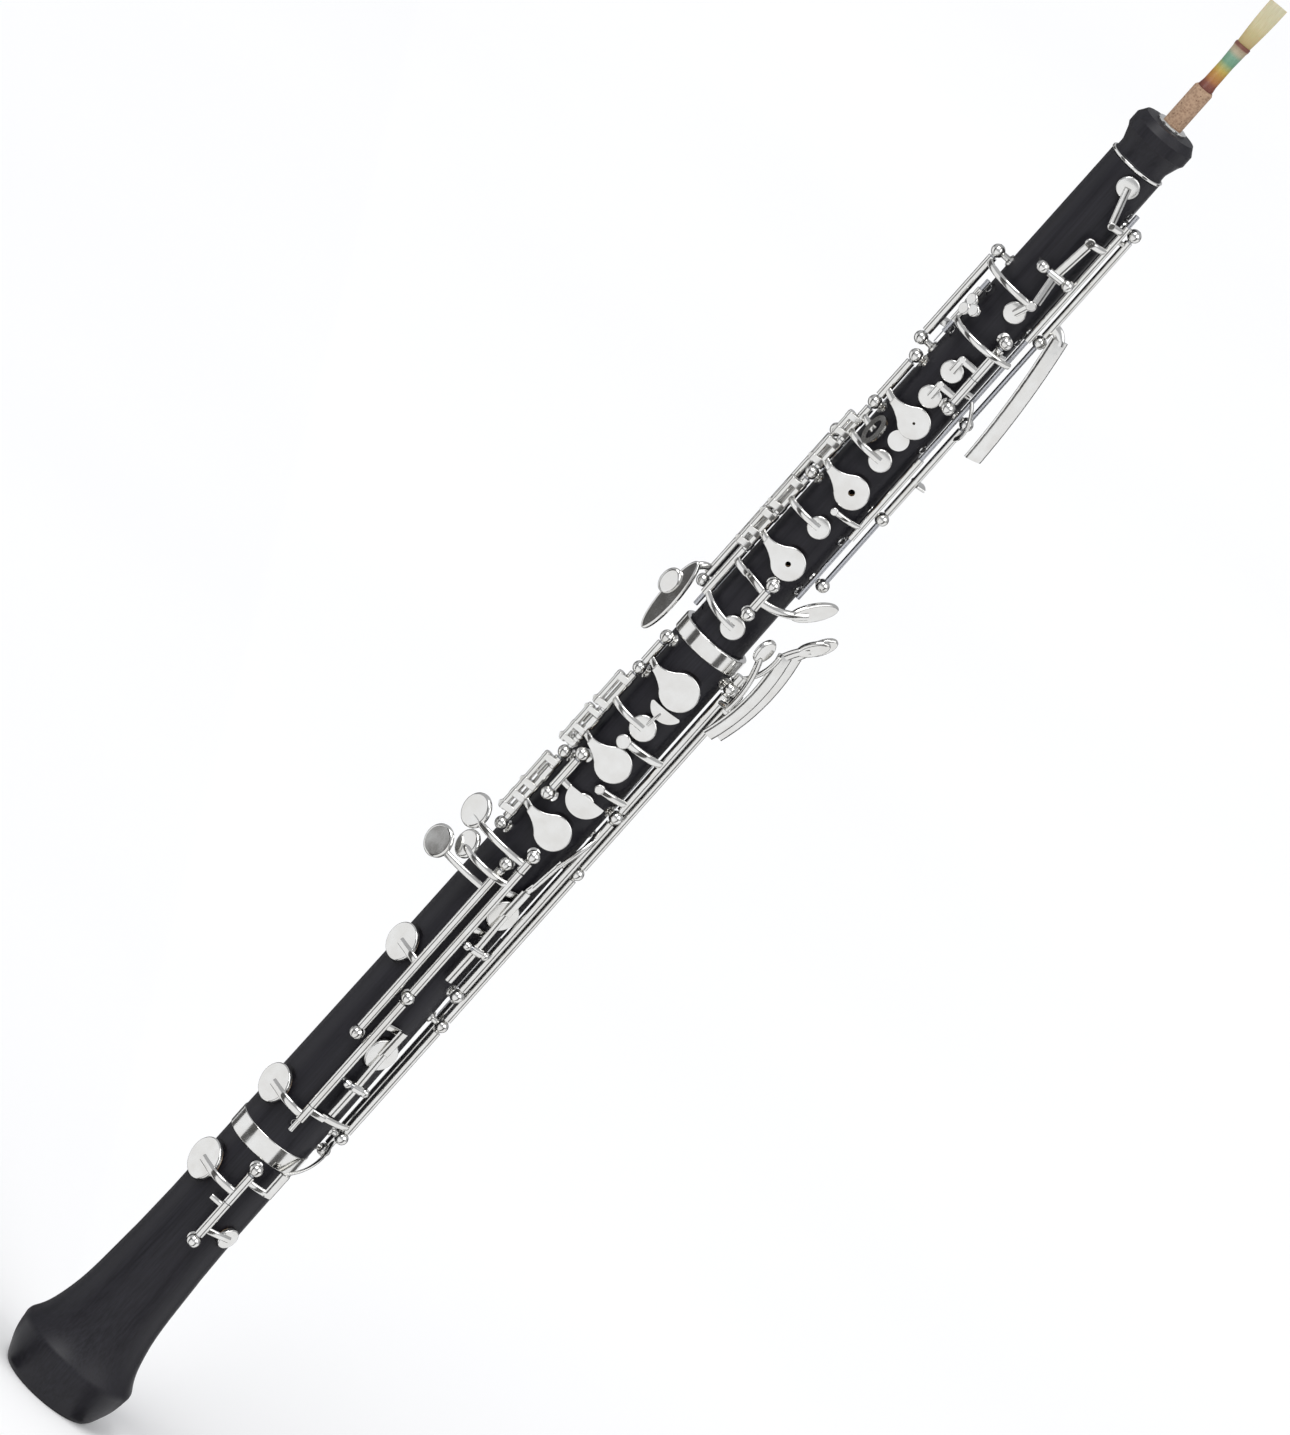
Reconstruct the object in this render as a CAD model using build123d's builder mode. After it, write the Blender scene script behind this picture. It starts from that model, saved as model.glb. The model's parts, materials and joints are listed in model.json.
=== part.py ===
"""Oboe with its keywork: three wooden joints, silver keys on hinge rods, and a reed.

Millimetres. +Z runs up the body from the bell rim at z = 0 to the reed. Places are given round the
body: an angle from the tone-hole line (which faces -Y), positive towards +X, and a distance from
the body's axis. Closed keys are built with the pad on its seat; open-standing keys are built the
same way and then swung open about their hinge.
"""

from build123d import *
import os
from math import cos, radians, sin, sqrt

os.makedirs("parts", exist_ok=True)

# ---------------------------------------------------------------- driving dimensions
BELL_TOP = 121.0
LOWER_TOP = 350.4
UPPER_BOTTOM = 357.0
CROWN_TOP = 594.0
REED_TIP = 648.5

RIM_RADIUS = 18.0
BORE_TOP = 2.1
BORE_UPPER_BOTTOM = 5.6
BORE_LOWER_BOTTOM = 8.0
BELL_MOUTH = 16.4

# Outside of the wood, height and radius, where the taper changes
TAPER = [(49.2, 15.6), (84.0, 14.15), (123.0, 14.0), (209.0, 13.2), (350.4, 12.7)]
UPPER_TAPER = [(357.0, 11.2), (436.0, 10.75), (574.0, 10.4)]

TENON_RADIUS = {"lower": 10.4, "upper": 8.6}
TENON_LENGTH = 18.0
CORK_THICK = 0.7

ROD = 0.9
TUBE = 1.7
SLIM_TUBE = 1.4
ROD_CLEARANCE = 0.05
POST_CLEARANCE = 0.03
BALL = 2.5
STEM = 1.2
FLANGE = 2.3
POCKET = 0.35
FLANGE_THICK = 0.85
CROSS_STEM = 1.1
CROSS_POST_DEPTH = 2.2

SEAT_SHARE = 0.62
PAD_THICK = 1.5
PAD_LIFT = 0.06
CUP_RIM = 0.85
CUP_TOP = 2.45
PAD_INSET = 0.45
PLATE_THICK = 1.0
NECK_HALF = 1.5
GAP = 0.3

ARM_WIDTH = 2.6
ARM_THICK = 1.5

# Hinge lines: angle round the body and distance from its axis
HINGES = {
    "bell": (0, 18.0),
    "front": (-1, 17.0),
    "second": (-19, 17.0),
    "lower_stack": (-63, 16.3),
    "fork": (-39, 16.8),
    "inner_side": (56, 16.5),
    "outer_side": (77, 18.3),
    "hidden_side": (99, 17.6),
    "upper_stack": (-77, 14.3),
    "trill_side": (-107, 16.4),
    "thumb": (-95, 15.9),
    "clover": (-70, 13.5),
    "trill": (17, 14.3),
    "inner_right": (49, 13.4),
    "outer_right": (68, 15.6),
    "g_sharp": (-1, 14.6),
}

# Cups: angle, height, radius, hole through the wood
CUPS = {
    "bell_vent": (39, 85.5, 4.1, 2.0),
    "b_flat": (-64, 101.7, 7.8, 5.2),
    "low_b": (-61, 138.5, 7.2, 4.8),
    "c_sharp": (28, 170.9, 6.3, 4.2),
    "low_c": (-60, 205.6, 7.0, 4.4),
    "e_flat": (26, 236.2, 6.0, 3.8),
    "d": (0, 270.7, 6.6, 3.2),
    "fork_f": (3, 284.4, 4.4, 1.5),
    "e": (0, 302.5, 6.6, 2.9),
    "f_vent": (-3, 318.9, 4.8, 1.6),
    "f_sharp": (2, 336.7, 7.1, 3.0),
    "g_sharp": (-3, 365.4, 4.4, 1.8),
    "third_finger": (-2, 395.1, 6.1, 2.4),
    "b_vent": (-4, 411.5, 4.1, 1.4),
    "second_finger": (-2, 428.2, 6.2, 2.2),
    "c_vent": (-2, 442.9, 4.1, 1.3),
    "half_hole": (-2, 460.4, 5.8, 1.6),
    "c_trill": (-13, 470.8, 4.1, 1.4),
    "d_trill": (-13, 482.3, 4.1, 1.3),
    "thumb_octave": (-1, 511.7, 4.0, 1.0),
    "second_octave": (2, 569.6, 4.1, 1.0),
    "right_trill": (-142, 430.0, 4.1, 1.4),
}
PLATE_HOLES = {"third_finger": 1.0, "second_finger": 1.2, "half_hole": 0.5}
PADDED = [
    "b_flat", "low_b", "c_sharp", "low_c", "e_flat", "d", "e", "f_sharp",
    "third_finger", "second_finger", "half_hole",
]

# Keys that stand open at rest: hinge line and how far they are swung open, in degrees
OPEN_KEYS = {
    "b_flat": ("bell", 5.0),
    "low_b": ("front", 5.0),
    "low_c": ("second", 5.5),
    "d": ("lower_stack", 4.5),
    "e": ("lower_stack", 4.5),
    "f_vent": ("lower_stack", 4.0),
    "f_sharp": ("lower_stack", 4.5),
    "third_finger": ("upper_stack", 4.5),
    "b_vent": ("upper_stack", 4.0),
    "second_finger": ("upper_stack", 4.5),
    "c_vent": ("upper_stack", 4.0),
    "half_hole": ("upper_stack", 3.5),
}

# Posts: hinge line, then the heights of its posts
POSTS = {
    "bell": (79.0, 112.6),
    "front": (133.4, 193.6, 260.2),
    "second": (172.5, 252.0),
    "lower_stack": (260.2, 293.6, 333.0, 347.4),
    "fork": (279.9, 298.2),
    "inner_side": (203.0, 287.2, 347.4),
    "outer_side": (136.6, 190.0, 262.0, 345.8),
    "hidden_side": (127.6, 200.0, 275.0, 347.4),
    "upper_stack": (363.8, 422.8, 455.6, 477.0),
    "trill_side": (368.0, 438.0),
    "thumb": (482.0, 522.0),
    "clover": (492.0, 511.0),
    "trill": (472.0, 502.0),
    "inner_right": (389.0, 411.7, 454.0, 503.4, 561.4),
    "outer_right": (395.0, 426.0, 470.0, 508.0, 557.0),
    "g_sharp": (372.9, 386.1),
}
# Lines whose rod turns with one of its keys, so it isn't among the fixed rods
THROUGH_RODS = ("front", "inner_side", "outer_side", "hidden_side")

# Cross axles of the two rocking keys: angle, height, distance from the axis
ROCKERS = {"c_sharp": (28, 156.5, 16.4), "e_flat": (26, 221.0, 16.0)}
ROCKER_SPAN = 4.3
ROCKER_BALL = 1.7

# The octave see-saw's cross axle
SEESAW = (4, 531.0, 15.6)
SEESAW_SPAN = 5.4
SEESAW_BALL = 2.3


# ---------------------------------------------------------------- places
def outward(angle):
    return Vector(sin(radians(angle)), -cos(radians(angle)), 0)


def sideways(angle):
    return Vector(cos(radians(angle)), sin(radians(angle)), 0)


def at(angle, distance, height, shift=0.0):
    """A point round the body, shifted sideways if asked."""
    return outward(angle) * distance + sideways(angle) * shift + Vector(0, 0, height)


def facing(angle, distance, height, shift=0.0):
    """A plane that looks outward, with its x up the body."""
    return Plane(origin=at(angle, distance, height, shift), x_dir=(0, 0, 1), z_dir=outward(angle))


def profile_plane(angle, distance, height):
    """A plane through the outward direction: x up the body, y outward."""
    return Plane(origin=at(angle, distance, height), x_dir=(0, 0, 1), z_dir=sideways(angle))


def on_hinge(line, height):
    angle, distance = HINGES[line]
    return at(angle, distance, height)


def body_radius(height):
    """Outside radius of the wood at a height."""
    taper = TAPER if height < UPPER_BOTTOM else UPPER_TAPER
    for (low, wide), (high, narrow) in zip(taper, taper[1:]):
        if low <= height <= high:
            return wide + (narrow - wide) * (height - low) / (high - low)
    return taper[-1][1]


def seat_distance(height, radius):
    """Distance from the axis to the flat that a pad of this radius closes."""
    return sqrt(body_radius(height) ** 2 - (SEAT_SHARE * radius) ** 2)


# ---------------------------------------------------------------- pieces of keywork
def tube(line, low, high, radius=TUBE):
    """Hinge tube, still solid: the key's bore is cut last."""
    with BuildPart() as shape:
        with BuildSketch(Plane(origin=on_hinge(line, low), z_dir=(0, 0, 1))):
            Circle(radius)
        extrude(amount=high - low)
    return shape.part


def bore(line, low, high):
    """The hole for the hinge rod, a little longer than its tube."""
    return tube(line, low - 1, high + 1, ROD + ROD_CLEARANCE)


def collar(line, height, width, radius):
    return tube(line, height - width / 2, height + width / 2, radius)


def cup(name):
    """Domed cup with a recess for its pad."""
    angle, height, radius, _ = CUPS[name]
    pad_radius = radius - PAD_INSET
    recess = PAD_LIFT + PAD_THICK + 0.02
    plane = profile_plane(angle, seat_distance(height, radius), height)
    with BuildPart() as shape:
        with BuildSketch(plane):
            with BuildLine():
                rim = Polyline(
                    (0, recess), (pad_radius + 0.03, recess), (pad_radius + 0.03, CUP_RIM),
                    (radius, CUP_RIM), (radius, CUP_TOP - 0.75),
                )
                shoulder = TangentArc(rim @ 1, (radius - 0.6, CUP_TOP - 0.22), tangent=(0, 1))
                dome = ThreePointArc(shoulder @ 1, (radius * 0.5, CUP_TOP - 0.06), (0, CUP_TOP))
                Line(dome @ 1, rim @ 0)
            make_face()
        revolve(axis=Axis(plane.origin, plane.y_dir), revolution_arc=360)
    return shape.part


def pad(name):
    """Skin-covered disc under the cup, closing on the seat."""
    angle, height, radius, _ = CUPS[name]
    plane = facing(angle, seat_distance(height, radius) + PAD_LIFT, height)
    with BuildPart() as shape:
        with BuildSketch(plane):
            Circle(radius - PAD_INSET)
        extrude(amount=PAD_THICK)
        fillet(shape.edges().filter_by(GeomType.CIRCLE).sort_by(Axis(plane.origin, plane.z_dir))[0], 0.4)
    return shape.part


def pad_space(name):
    """What must stay empty under a cup so that its pad fits."""
    angle, height, radius, _ = CUPS[name]
    with BuildPart() as shape:
        with BuildSketch(facing(angle, seat_distance(height, radius) - 2, height)):
            Circle(radius - PAD_INSET + 0.03)
        extrude(amount=2 + PAD_LIFT + PAD_THICK + 0.02)
    return shape.part


def plate_height(name):
    _, height, radius, _ = CUPS[name]
    return seat_distance(height, radius) + CUP_TOP - PLATE_THICK / 2


def finger_plate(name, neck_rise=1.5, neck_reach=3.6):
    """Flat teardrop that a finger rests on, with its neck towards the stack on the left."""
    angle, height, radius, _ = CUPS[name]
    plane = facing(angle, plate_height(name) - PLATE_THICK / 2, height)
    with BuildPart() as shape:
        with BuildSketch(plane):
            tip = radius + neck_reach + NECK_HALF
            sides = [
                ((side * 0.8 * radius, 0.6 * radius), (neck_rise + side * NECK_HALF, tip)) for side in (-1, 1)
            ]
            with BuildLine():
                for shoulder, end in sides:
                    middle = ((shoulder[0] + end[0]) * 0.42, (shoulder[1] + end[1]) / 2 - 0.09 * radius)
                    ThreePointArc(shoulder, middle, end)
                Line(sides[0][0], sides[1][0])
                Line(sides[0][1], sides[1][1])
            make_face()
            Circle(radius)
        extrude(amount=PLATE_THICK + 0.25)
        top = shape.faces().sort_by(Axis(plane.origin, plane.z_dir))[-1]
        fillet(top.edges(), 0.4)
    return shape.part


def swept_bar(path, start, heading, width, thick):
    """An oval bar along a path; width runs up the body at the start."""
    with BuildPart() as shape:
        with BuildSketch(Plane(origin=start, x_dir=(0, 0, 1), z_dir=heading)) as section:
            Ellipse(width / 2, thick / 2)
        sweep(section.sketch, path=path)
    return shape.part


def arm(line, height, angle, distance, end_height, width=ARM_WIDTH, thick=ARM_THICK):
    """Curved arm from a hinge to a place over the body, which it meets square to the radius."""
    start = at(angle, distance, end_height)
    heading = sideways(angle) * (1 if HINGES[line][0] > angle else -1)
    with BuildLine() as path:
        TangentArc(start, on_hinge(line, height), tangent=heading)
    return swept_bar(path.line, start, heading, width, thick)


def cup_arm(name, line, height, width=ARM_WIDTH):
    """Arm from a hinge that lies across a cup as far as its middle."""
    angle, cup_height, radius, _ = CUPS[name]
    start = at(angle, seat_distance(cup_height, radius) + CUP_TOP - 0.1, cup_height)
    heading = sideways(angle) * (1 if HINGES[line][0] > angle else -1)
    with BuildLine() as path:
        level = Line(start, start + heading * radius * 0.75)
        TangentArc(level @ 1, on_hinge(line, height), tangent=heading)
    return swept_bar(path.line, start, heading, width, ARM_THICK)


def offset_arm(name, line, height):
    """Level arm that stops beside its cup, and a short bar from its end down to the cup."""
    angle, cup_height, radius, _ = CUPS[name]
    over_cup = seat_distance(cup_height, radius) + CUP_TOP
    with BuildPart() as shape:
        add(arm(line, height, angle, over_cup + 0.4, height))
        add(button(at(angle, over_cup + 0.4, height), angle, ARM_WIDTH / 2, ARM_THICK))
        drop_top, drop_foot = at(angle, over_cup + 0.4, height), at(angle, over_cup - 0.1, cup_height)
        add(long_bar(drop_top, drop_foot, angle, 2.6, 1.5))
    return shape.part


def plate_arm(name, line, height):
    """Arm from a hinge into the thickness of a finger plate, which it leaves at the plate's edge."""
    angle, cup_height, radius, _ = CUPS[name]
    whole = arm(line, height, angle, plate_height(name) + 0.1, cup_height, thick=1.2)
    with BuildPart() as shape:
        add(whole)
        with BuildSketch(facing(angle, 0, cup_height)):
            Circle(radius - 1.0)
        extrude(amount=30, mode=Mode.SUBTRACT)
    return shape.part


def arched_bar(start, middle, end, width, thick):
    """Oval bar through three points."""
    with BuildLine() as path:
        ThreePointArc(start, middle, end)
    heading = path.line % 0
    across = Vector(0, 0, 1) - heading * heading.Z
    with BuildPart() as shape:
        with BuildSketch(Plane(origin=start, x_dir=across, z_dir=heading)) as section:
            Ellipse(width / 2, thick / 2)
        sweep(section.sketch, path=path.line)
    return shape.part


def long_bar(start, end, face, width, thick):
    """Straight oval bar that runs up the body; width runs sideways of the face angle."""
    start, end = Vector(*start), Vector(*end)
    heading = (end - start).normalized()
    across = sideways(face) - heading * sideways(face).dot(heading)
    with BuildPart() as shape:
        with BuildSketch(Plane(origin=start, x_dir=across, z_dir=heading)) as section:
            Ellipse(width / 2, thick / 2)
        extrude(to_extrude=section.sketch, amount=(end - start).length)
    return shape.part


def leaf(start, middle, end, face, width, thick):
    """Curved blade that runs up the body, its flat side turned to the face angle."""
    with BuildLine() as path:
        ThreePointArc(start, middle, end)
    heading = path.line % 0
    across = sideways(face) - heading * sideways(face).dot(heading)
    with BuildPart() as shape:
        with BuildSketch(Plane(origin=start, x_dir=across, z_dir=heading)) as section:
            Ellipse(width / 2, thick / 2)
        sweep(section.sketch, path=path.line)
    return shape.part


def button(centre, face, radius, thick):
    """Round touch or boss with a soft edge, flat side turned to the face angle."""
    plane = Plane(origin=centre, x_dir=(0, 0, 1), z_dir=outward(face))
    with BuildPart() as shape:
        with BuildSketch(plane.offset(-thick / 2)):
            Circle(radius)
        extrude(amount=thick)
        rims = shape.edges().filter_by(GeomType.CIRCLE)
        fillet(rims, min(thick, radius) * 0.3)
    return shape.part


def paddle(centre, face, length, width, thick=1.7):
    """Oval touch, its length up the body and its flat side turned to the face angle."""
    plane = Plane(origin=centre, x_dir=(0, 0, 1), z_dir=outward(face))
    with BuildPart() as shape:
        with BuildSketch(plane.offset(-thick / 2)):
            Ellipse(length / 2, width / 2)
        extrude(amount=thick)
        front = shape.faces().sort_by(Axis(plane.origin, plane.z_dir))[-1]
        fillet(front.edges(), min(thick * 0.6, width * 0.15, length * 0.15))
        fillet(shape.faces().sort_by(Axis(plane.origin, plane.z_dir))[0].edges(), thick * 0.2)
    return shape.part


def spoon(start, end, face, width, thick=2.0):
    """Long oval touch from one point to another, its flat side turned to the face angle."""
    start, end = Vector(*start), Vector(*end)
    heading = (end - start).normalized()
    normal = outward(face) - heading * outward(face).dot(heading)
    plane = Plane(origin=(start + end) / 2, x_dir=heading, z_dir=normal)
    with BuildPart() as shape:
        with BuildSketch(plane.offset(-thick / 2)):
            Ellipse((end - start).length / 2, width / 2)
        extrude(amount=thick)
        fillet(shape.edges(), thick * 0.42)
    return shape.part


def post_shape(foot, centre, face, drill, ball=BALL, stem=STEM, flange=FLANGE):
    """Ball post: flange in its pocket, stem, and a ball drilled for the rod."""
    plane = Plane(origin=foot, x_dir=(0, 0, 1), z_dir=sideways(face))
    reach = (centre - foot).length
    neck = sqrt(ball**2 - stem**2)
    with BuildPart() as shape:
        with BuildSketch(plane):
            with BuildLine():
                side = Polyline(
                    (0, reach + ball), (0, 0), (flange, 0), (flange, FLANGE_THICK),
                    (stem, FLANGE_THICK + 0.5), (stem, reach - neck),
                )
                ThreePointArc(side @ 1, (ball, reach), side @ 0)
            make_face()
        revolve(axis=Axis(plane.origin, plane.y_dir), revolution_arc=360)
        with BuildSketch(Plane(origin=centre - drill * 6, x_dir=outward(face), z_dir=drill)):
            Circle(ROD + POST_CLEARANCE)
        extrude(amount=12, mode=Mode.SUBTRACT)
    return shape.part


def post(line, height):
    angle, distance = HINGES[line]
    foot = at(angle, body_radius(height) - POCKET, height)
    return post_shape(foot, at(angle, distance, height), angle, Vector(0, 0, 1))


def cross_posts(angle, height, distance, half_span, ball):
    """Pair of slim posts that carry a cross axle."""
    shapes = []
    for shift in (-half_span, half_span):
        foot = at(angle, body_radius(height) - CROSS_POST_DEPTH, height, shift)
        centre = at(angle, distance, height, shift)
        shapes.append(post_shape(foot, centre, angle, sideways(angle), ball, CROSS_STEM, CROSS_STEM + 0.01))
    return shapes


def cross_axle(angle, height, distance, half_length, radius):
    with BuildPart() as shape:
        with BuildSketch(
            Plane(origin=at(angle, distance, height, -half_length), x_dir=(0, 0, 1), z_dir=sideways(angle))
        ):
            Circle(radius)
        extrude(amount=2 * half_length)
    return shape.part


def swing_open(shape, name):
    """Turn a key from closed to open about its hinge."""
    line, degrees_open = OPEN_KEYS[name]
    hinge_angle, _ = HINGES[line]
    side = 1 if hinge_angle > CUPS[name][0] else -1
    return shape.rotate(Axis(on_hinge(line, 0), (0, 0, 1)), side * degrees_open)


def save(builder, label, opens=None):
    """Label a finished piece and write its file."""
    shape = swing_open(builder.part, opens) if opens in OPEN_KEYS else builder.part
    shape.label = label
    export_step(shape, f"parts/{label}.step")


# ---------------------------------------------------------------- cuts that the wood needs
def tone_hole_cut(name):
    """Flat for the pad, and the hole down to the bore."""
    angle, height, radius, hole = CUPS[name]
    seat = seat_distance(height, radius)
    with BuildPart() as shape:
        with BuildSketch(facing(angle, seat, height)):
            Circle(radius + 0.5)
        extrude(amount=8)
        with BuildSketch(facing(angle, 1.0, height)):
            Circle(hole / 2)
        extrude(amount=seat)
    return shape.part


def post_cut(line, height):
    angle, _ = HINGES[line]
    with BuildPart() as shape:
        with BuildSketch(facing(angle, body_radius(height) - POCKET, height)):
            Circle(FLANGE + 0.03)
        extrude(amount=4)
    return shape.part


def cross_post_cuts(axle, half_span):
    angle, height, _ = axle
    with BuildPart() as shape:
        for shift in (-half_span, half_span):
            with BuildSketch(facing(angle, body_radius(height) - CROSS_POST_DEPTH, height, shift)):
                Circle(CROSS_STEM + 0.04)
            extrude(amount=5)
    return shape.part


def cuts_between(low, high):
    """Every tone hole and post pocket whose height falls in a stretch of the body."""
    shapes = [tone_hole_cut(name) for name, cup_row in CUPS.items() if low < cup_row[1] < high]
    for line, heights in POSTS.items():
        shapes += [post_cut(line, height) for height in heights if low < height < high]
    axles = [(row, ROCKER_SPAN) for row in ROCKERS.values()] + [(SEESAW, SEESAW_SPAN)]
    shapes += [cross_post_cuts(axle, half_span) for axle, half_span in axles if low < axle[1] < high]
    return shapes


# ---------------------------------------------------------------- wooden joints
with BuildPart() as bell:
    with BuildSketch(Plane.XZ):
        with BuildLine():
            rim = Line((BELL_MOUTH, 0), (RIM_RADIUS, 0))
            flare = Spline(
                rim @ 1, (20.2, 3.8), (21.7, 7.5), (22.8, 12.0), (23.2, 15.2),
                tangents=((0.75, 0.65), (0.12, 1.0)),
            )
            ridge = ThreePointArc(flare @ 1, (23.25, 17.0), (22.5, 18.7))
            waist = Spline(
                ridge @ 1, (20.7, 22.0), (18.6, 28.3), (17.1, 35.3),
                (15.75, 48.0), (14.95, 62.0), (14.15, 84.0),
                tangents=((-0.55, 0.84), (-0.03, 1.0)),
            )
            neck = Polyline(waist @ 1, (14.0, 113.0), (14.0, 115.6), (12.9, 115.6), (12.9, BELL_TOP))
            socket = Polyline(
                neck @ 1, (TENON_RADIUS["lower"] + CORK_THICK + 0.05, BELL_TOP),
                (TENON_RADIUS["lower"] + CORK_THICK + 0.05, BELL_TOP - TENON_LENGTH - 0.4),
                (BORE_LOWER_BOTTOM + 0.6, BELL_TOP - TENON_LENGTH - 0.4),
            )
            Spline(
                socket @ 1, (10.2, 62.0), (12.4, 30.0), (15.4, 6.0), rim @ 0,
                tangents=((0.03, -1.0), (0.45, -1.0)),
            )
        make_face()
    revolve(axis=Axis.Z, revolution_arc=360)
    for cut in cuts_between(60, BELL_TOP):
        add(cut, mode=Mode.SUBTRACT)
save(bell, "bell")

LOWER_BOTTOM = BELL_TOP + 0.02
with BuildPart() as lower_joint:
    with BuildSketch(Plane.XZ):
        with BuildLine():
            tenon = TENON_RADIUS["lower"]
            foot = LOWER_BOTTOM - TENON_LENGTH
            socket_radius = TENON_RADIUS["upper"] + CORK_THICK + 0.05
            Polyline(
                (BORE_LOWER_BOTTOM, foot), (tenon, foot), (tenon, foot + 3.0),
                (tenon - CORK_THICK, foot + 3.0), (tenon - CORK_THICK, foot + 15.0), (tenon, foot + 15.0),
                (tenon, LOWER_BOTTOM), (12.6, LOWER_BOTTOM), (12.6, 123.4), (14.0, 123.4),
                (13.2, 209.0), (12.7, LOWER_TOP), (11.6, LOWER_TOP), (11.6, UPPER_BOTTOM - 0.02),
                (socket_radius, UPPER_BOTTOM - 0.02), (socket_radius, UPPER_BOTTOM - TENON_LENGTH - 0.4),
                (BORE_UPPER_BOTTOM + 0.2, UPPER_BOTTOM - TENON_LENGTH - 0.4),
                (BORE_LOWER_BOTTOM, foot),
            )
        make_face()
    revolve(axis=Axis.Z, revolution_arc=360)
    for cut in cuts_between(LOWER_BOTTOM, LOWER_TOP):
        add(cut, mode=Mode.SUBTRACT)
save(lower_joint, "lower_joint")

REED_SOCKET = 576.0
with BuildPart() as upper_joint:
    with BuildSketch(Plane.XZ):
        with BuildLine():
            tenon = TENON_RADIUS["upper"]
            foot = UPPER_BOTTOM - TENON_LENGTH
            side = Polyline(
                (BORE_UPPER_BOTTOM, foot), (tenon, foot), (tenon, foot + 3.0),
                (tenon - CORK_THICK, foot + 3.0), (tenon - CORK_THICK, foot + 15.0), (tenon, foot + 15.0),
                (tenon, UPPER_BOTTOM), (11.2, UPPER_BOTTOM), (10.75, 436.0), (10.4, 574.6),
                (10.0, 575.0), (10.0, 576.2), (9.7, 576.6),
            )
            crown = Spline(
                side @ 1, (9.6, 578.6), (10.7, 582.4), (12.1, 585.4), tangents=((0, 1), (0.8, 1)),
            )
            Polyline(
                crown @ 1, (12.1, 589.6), (10.2, 592.6), (5.4, 592.9), (5.4, REED_SOCKET),
                (BORE_TOP, REED_SOCKET), (BORE_UPPER_BOTTOM, foot),
            )
        make_face()
    revolve(axis=Axis.Z, revolution_arc=360)
    for cut in cuts_between(UPPER_BOTTOM, 574.0):
        add(cut, mode=Mode.SUBTRACT)
save(upper_joint, "upper_joint")


# ---------------------------------------------------------------- rings, corks and reed socket
def ring(inner, outer, low, high, round_over=0.4):
    with BuildPart() as shape:
        with BuildSketch(Plane.XY.offset(low)):
            Circle(outer)
            Circle(inner, mode=Mode.SUBTRACT)
        extrude(amount=high - low)
        circles = shape.edges().filter_by(GeomType.CIRCLE)
        fillet(circles.filter_by(lambda e: e.radius > outer - 0.01), round_over)
    return shape.part


with BuildPart() as socket_rings:
    add(ring(12.93, 14.35, 115.65, 123.35))
    add(ring(11.63, 13.35, LOWER_TOP + 0.05, UPPER_BOTTOM - 0.04, 0.6))
save(socket_rings, "socket_rings")

with BuildPart() as crown_ring:
    add(ring(10.02, 10.75, 575.05, 576.15, 0.3))
save(crown_ring, "crown_ring")

with BuildPart() as tenon_corks:
    for name, foot in (("lower", LOWER_BOTTOM - TENON_LENGTH), ("upper", UPPER_BOTTOM - TENON_LENGTH)):
        inner = TENON_RADIUS[name] - CORK_THICK + 0.01
        add(ring(inner, TENON_RADIUS[name] + CORK_THICK, foot + 3.05, foot + 14.95, 0.3))
save(tenon_corks, "tenon_corks")

CORK_BORE = 3.78
with BuildPart() as reed_socket:
    with BuildSketch(Plane.XZ):
        with BuildLine():
            Polyline(
                (CORK_BORE, REED_SOCKET + 0.1), (5.35, REED_SOCKET + 0.1), (5.35, 593.0),
                (5.9, 593.0), (5.9, 593.7), (5.5, CROWN_TOP), (CORK_BORE, CROWN_TOP),
                (CORK_BORE, REED_SOCKET + 0.1),
            )
        make_face()
    revolve(axis=Axis.Z, revolution_arc=360)
save(reed_socket, "reed_socket")

# ---------------------------------------------------------------- posts and hinge rods
with BuildPart() as posts:
    for line, heights in POSTS.items():
        for height in heights:
            add(post(line, height))
    for axle in ROCKERS.values():
        for shape in cross_posts(*axle, ROCKER_SPAN, ROCKER_BALL):
            add(shape)
    for shape in cross_posts(*SEESAW, SEESAW_SPAN, SEESAW_BALL):
        add(shape)
save(posts, "posts")

with BuildPart() as hinge_rods:
    for line, heights in POSTS.items():
        if line not in THROUGH_RODS:
            add(tube(line, heights[0] - BALL + 0.3, heights[-1] + BALL - 0.3, ROD))
    for axle in ROCKERS.values():
        add(cross_axle(*axle, ROCKER_SPAN + 1.4, ROD))
    add(cross_axle(*SEESAW, SEESAW_SPAN + 2.0, ROD))
save(hinge_rods, "hinge_rods")

# Needle springs: hinge line, the post that holds one, and its length up the body
SPRINGS = [
    ("bell", 79.0, 18), ("front", 133.4, 16), ("second", 172.5, 22), ("lower_stack", 260.2, 18),
    ("lower_stack", 333.0, 11), ("outer_side", 190.0, 24), ("hidden_side", 200.0, 24),
    ("inner_side", 287.2, 20), ("upper_stack", 363.8, 18), ("upper_stack", 422.8, 18),
    ("upper_stack", 455.6, 16), ("thumb", 482.0, 18), ("trill", 472.0, 16), ("outer_right", 426.0, 20),
]
SPRING_RADIUS = 0.2
SPRING_STAND_OFF = 0.35
SPRING_RISE = 1.8
with BuildPart() as needle_springs:
    for line, height, length in SPRINGS:
        angle, distance = HINGES[line]
        under_tube = distance - TUBE - SPRING_STAND_OFF
        root = at(angle, min(body_radius(height) + 1.2, under_tube), height + SPRING_RISE)
        with BuildSketch(Plane(origin=root, z_dir=(0, 0, 1))):
            Circle(SPRING_RADIUS)
        extrude(amount=length)
save(needle_springs, "needle_springs")

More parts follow.
